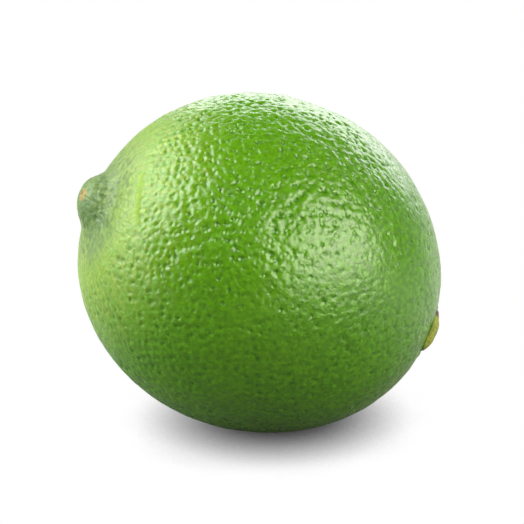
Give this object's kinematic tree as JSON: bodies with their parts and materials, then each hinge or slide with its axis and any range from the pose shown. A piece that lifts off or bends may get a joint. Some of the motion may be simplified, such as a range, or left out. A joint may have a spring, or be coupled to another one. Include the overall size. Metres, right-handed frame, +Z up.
{
  "type": "lime",
  "caption": "Whole green lime lying on its side: an oval fruit with a blunt nipple at one end, pitted skin, and a small dry calyx button at the other end.",
  "frame": {"origin": "on the surface that the lime rests on, under the middle of its bounding box", "axes": "+Z up; the fruit's long axis lies in the XZ plane, with the stem end towards +X and sloping down by about 25 degrees"},
  "size_m": [0.0576, 0.0532, 0.0535],
  "materials": {
    "peel": "waxy green peel, glossy, with fine pores",
    "calyx": "dry, matt, yellow-green to brown"
  },
  "bodies": {
    "root": {"lime_fruit": "peel", "calyx_button": "calyx"}
  },
  "joints": []
}
